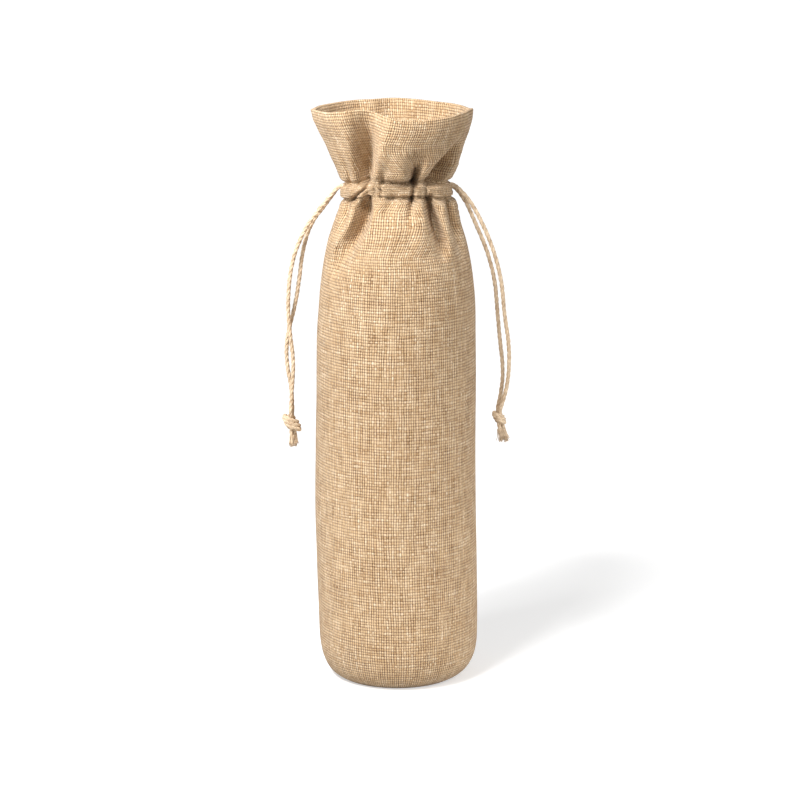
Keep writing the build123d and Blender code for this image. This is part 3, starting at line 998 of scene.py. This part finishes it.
def frayed_end(top, direction, length, seed):
    """Loose fibres of a cut end of twine."""
    rng = np.random.default_rng(seed)
    across = np.cross(direction, (0.0, 1.0, 0.0))
    across /= np.linalg.norm(across)
    other = np.cross(direction, across)
    t = np.linspace(0, 1, 7)
    tubes = []
    for _ in range(FIBRES):
        start = rng.normal(0, 0.46, 2)
        spread = 0.7 * start + rng.normal(0, 0.22, 2)
        reach = length * rng.uniform(0.75, 1.08)
        sideways = start[:, None] + spread[:, None] * FIBRE_SPREAD * t**2
        line = top + direction * (reach * t)[:, None]
        line += across * sideways[0][:, None] + other * sideways[1][:, None]
        tubes.append(tube_mesh(line, FIBRE_RADIUS * (1 - 0.45 * t), 5))
    return tubes


def make_knots():
    """Knot and frayed cut ends of each cord."""
    for name, knot in KNOTS.items():
        half_width, half_height = knot["half_width"], knot["half_height"]
        ends = strand_ends(name, -1)
        centre = (ends[0] + ends[1]) / 2 - np.array([0, 0, half_height + KNOT_DROP])
        tubes = []
        for strand, start in enumerate((0.0, math.pi)):
            turn = knot_turn(centre, half_width, half_height, start)
            tubes += ply_tubes(turn, KNOT_TWINE, seed=40 + strand)
        for end in ends:
            line = np.array([end + (0, 0, KNOT_DROP), (2 * end + centre) / 3, centre])
            tubes += ply_tubes(line, TWINE, seed=45)
        obj = joined_tubes(f"{name}_knot_twine", tubes, twine)
        settle(obj, f"{name}_cord_knot", f"{name}_knot")
        for face, way, (lean, length) in zip(FACES, (-1, 1), knot["ends"]):
            start = centre - (0, 0, half_height) + END_START + way * np.array(END_HALF_GAP)
            direction = np.array([math.sin(math.radians(lean)), 0, -math.cos(math.radians(lean))])
            firm = FIRM_SHARE * length
            line = np.array([start + direction * firm * t for t in (0, 0.3, 0.6, 1.0)])
            fray_start = line[-1] - FRAY_OVERLAP * direction
            tubes = ply_tubes(line, TWINE, seed=60)
            tubes += frayed_end(fray_start, direction, length - firm + FRAY_OVERLAP, 70 + int(lean))
            obj = joined_tubes(f"{name}_{face}_end_twine", tubes, twine)
            settle(obj, f"{name}_cord_{face}_end", f"{name}_knot")


make_bag()
make_stitching()
make_seams()
make_channel_cords()
make_strands()
make_knots()


# ------ floor, light and camera, in metres
FLOOR_SIZE = 12.0
FLOOR_SEEN = (0.72, 0.72, 0.72, 1)  # the floor's colour to the camera
FLOOR_BOUNCE = (0.46, 0.45, 0.43, 1)  # and to the light that it sends back up to the bag
FLOOR_GLOW = 0.42  # keeps the shadow on the floor light
WORLD_LIGHT = 0.33
CAMERA_X = 0.0019
CAMERA_LENS = 133.65
WHITE = (1, 1, 1, 1)


def make_stage():
    """White floor that the bag stands on."""
    reach = FLOOR_SIZE / 2 / MM
    corners = [(x * reach, y * reach, 0) for x, y in ((-1, -1), (1, -1), (1, 1), (-1, 1))]
    floor = mesh_object("floor", corners, [(0, 1, 2, 3)], smooth=False)
    g = Graph("floor")
    seen = g.tree.nodes.new("ShaderNodeLightPath").outputs["Is Camera Ray"]
    floor.data.materials.append(g.finish(
        base_color=g.mix(seen, FLOOR_BOUNCE, FLOOR_SEEN),
        roughness=0.9,
        emission_color=WHITE,
        emission_strength=g.times(seen, FLOOR_GLOW),
    ))


def aimed(data, place, target):
    """Object for a light or a camera that looks from one place to another."""
    obj = bpy.data.objects.new(data.name, data)
    obj.location = place
    obj.rotation_mode = "QUATERNION"
    obj.rotation_quaternion = (Vector(target) - Vector(place)).to_track_quat("-Z", "Y")
    bpy.context.scene.collection.objects.link(obj)
    return obj


def make_sun(name, turn, up, power, softness):
    """Far light from a direction given as degrees round from the front and degrees up."""
    data = bpy.data.lights.new(name, "SUN")
    data.energy = power
    data.angle = math.radians(softness)
    turn, up = math.radians(turn), math.radians(up)
    aimed(data, (math.sin(turn) * math.cos(up), -math.cos(turn) * math.cos(up), math.sin(up)), (0, 0, 0))


def make_panel_light(name, place, target, power, size):
    """Square light panel near the bag, out of the camera's sight."""
    data = bpy.data.lights.new(name, "AREA")
    data.energy = power
    data.size = size
    aimed(data, place, target).visible_camera = False


def make_camera():
    """Camera a little above the bag, a long lens away."""
    data = bpy.data.cameras.new("camera")
    data.sensor_width = 36.0
    data.lens = CAMERA_LENS
    bpy.context.scene.camera = aimed(data, (CAMERA_X, -1.6, 0.55), (CAMERA_X, 0, 0.1575))


def make_world():
    """Even light from all round, in front of a white backdrop."""
    world = bpy.data.worlds.new("studio")
    world.use_nodes = True
    tree = world.node_tree
    even = tree.nodes["Background"]
    even.inputs["Color"].default_value = WHITE
    even.inputs["Strength"].default_value = WORLD_LIGHT
    white = tree.nodes.new("ShaderNodeBackground")
    white.inputs["Color"].default_value = WHITE
    seen = tree.nodes.new("ShaderNodeLightPath").outputs["Is Camera Ray"]
    choice = tree.nodes.new("ShaderNodeMixShader")
    for socket, value in zip(choice.inputs, (seen, even.outputs[0], white.outputs[0])):
        tree.links.new(value, socket)
    tree.links.new(choice.outputs[0], tree.nodes["World Output"].inputs["Surface"])
    bpy.context.scene.world = world


make_stage()
make_sun("key", turn=-32, up=52, power=1.45, softness=10)
make_sun("fill", turn=80, up=22, power=1.5, softness=70)
make_panel_light("top", place=(-0.26, -0.23, 0.50), target=(0, 0, 0.29), power=2.25, size=0.16)
make_panel_light("mouth", place=(-0.06, -0.12, 0.50), target=(0, 0.03, 0.31), power=0.26, size=0.12)
make_panel_light("low left", place=(-0.17, -0.18, 0.06), target=(0, -0.04, 0.03), power=0.21, size=0.08)
make_panel_light("low right", place=(0.20, -0.16, 0.05), target=(0, 0, 0.04), power=0.19, size=0.08)
make_camera()
make_world()
bpy.context.scene.view_settings.view_transform = "Standard"
